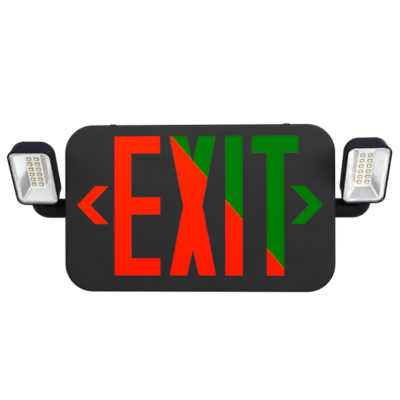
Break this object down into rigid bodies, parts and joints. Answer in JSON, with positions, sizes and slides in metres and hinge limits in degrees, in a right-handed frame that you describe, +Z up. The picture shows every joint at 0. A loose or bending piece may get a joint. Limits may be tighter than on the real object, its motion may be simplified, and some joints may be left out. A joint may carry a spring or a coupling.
{
  "type": "emergency exit light",
  "caption": "Wall-mounted exit sign with a stencil face lit red and green, and an adjustable square lamp head on an elbow arm at each end.",
  "frame": {"origin": "centre of the box's back face, on the wall plane, at the wire entry", "axes": "+X to the reader's right, +Y into the wall, +Z up; the legend faces -Y"},
  "size_m": [0.4044, 0.0831, 0.1852],
  "materials": {
    "black_abs": "satin moulded",
    "red_acrylic": "gloss, lit from behind",
    "green_acrylic": "gloss, lit from behind",
    "opal_acrylic": "matte, diffusing",
    "white_enamel": "white enamel",
    "zinc_steel": "zinc plated",
    "circuit_green": "solder mask",
    "circuit_white": "white solder mask",
    "led_package": "phosphor under clear resin",
    "transformer_iron": "varnished laminations",
    "black_sleeve": "shrink sleeve",
    "relay_case": "moulded",
    "terminal_green": "moulded",
    "battery_sleeve": "shrink sleeve",
    "lamp_resin": "red clear resin",
    "grey_abs": "satin moulded",
    "black_nylon": "moulded",
    "clear_polycarbonate": "clear",
    "metallised_tub": "vacuum metallised"
  },
  "bodies": {
    "sign": {"back_housing": "black_abs", "front_cover": "black_abs", "red_panel": "red_acrylic", "green_panel": "green_acrylic", "diffuser_panel": "opal_acrylic", "panel_push_nuts": "zinc_steel", "reflector_tray": "white_enamel", "tray_screws": "zinc_steel", "upper_led_strip": "circuit_white", "lower_led_strip": "circuit_white", "upper_strip_leds": "led_package", "lower_strip_leds": "led_package", "main_board": "circuit_green", "board_screws": "zinc_steel", "transformer": "transformer_iron", "capacitors": "black_sleeve", "relay": "relay_case", "terminal_block": "terminal_green", "test_switch": "black_nylon", "battery_pack": "battery_sleeve", "battery_clip": "zinc_steel", "battery_clip_screws": "zinc_steel", "charge_lamp": "lamp_resin", "test_button_spring": "zinc_steel"},
    "test_button": {"test_button": "grey_abs"},
    "left_arm": {"left_arm": "black_abs", "left_arm_washer": "zinc_steel", "left_arm_nut": "black_nylon", "left_swivel_clip": "zinc_steel"},
    "left_head": {"left_head_housing": "black_abs", "left_head_lens": "clear_polycarbonate", "left_head_reflector": "metallised_tub", "left_head_led_board": "circuit_white", "left_head_leds": "led_package", "left_head_board_screws": "zinc_steel"},
    "right_arm": {"right_arm": "black_abs", "right_arm_washer": "zinc_steel", "right_arm_nut": "black_nylon", "right_swivel_clip": "zinc_steel"},
    "right_head": {"right_head_housing": "black_abs", "right_head_lens": "clear_polycarbonate", "right_head_reflector": "metallised_tub", "right_head_led_board": "circuit_white", "right_head_leds": "led_package", "right_head_board_screws": "zinc_steel"}
  },
  "joints": [
    {"name": "left_arm_tilt", "type": "hinge", "parent": "sign", "child": "left_arm", "pos_m": [-0.1482, -0.025, 0], "axis": [1, 0, 0], "range_deg": [-34.9, 78.1]},
    {"name": "left_head_swivel", "type": "hinge", "parent": "left_arm", "child": "left_head", "pos_m": [-0.1781, -0.025, 0], "axis": [0, -0.6004, 0.7997], "range_deg": [-90, 90]},
    {"name": "right_arm_tilt", "type": "hinge", "parent": "sign", "child": "right_arm", "pos_m": [0.1482, -0.025, 0], "axis": [1, 0, 0], "range_deg": [-30.7, 82.3]},
    {"name": "right_head_swivel", "type": "hinge", "parent": "right_arm", "child": "right_head", "pos_m": [0.1781, -0.025, 0], "axis": [0, -0.5402, 0.8415], "range_deg": [-90, 90]},
    {"name": "test_button_press", "type": "slide", "parent": "sign", "child": "test_button", "axis": [0, 0, 1], "range_m": [0, 0.002], "stiffness_N_per_m": 300, "springref_m": -0.002, "deforming": ["test_button_spring"]}
  ]
}
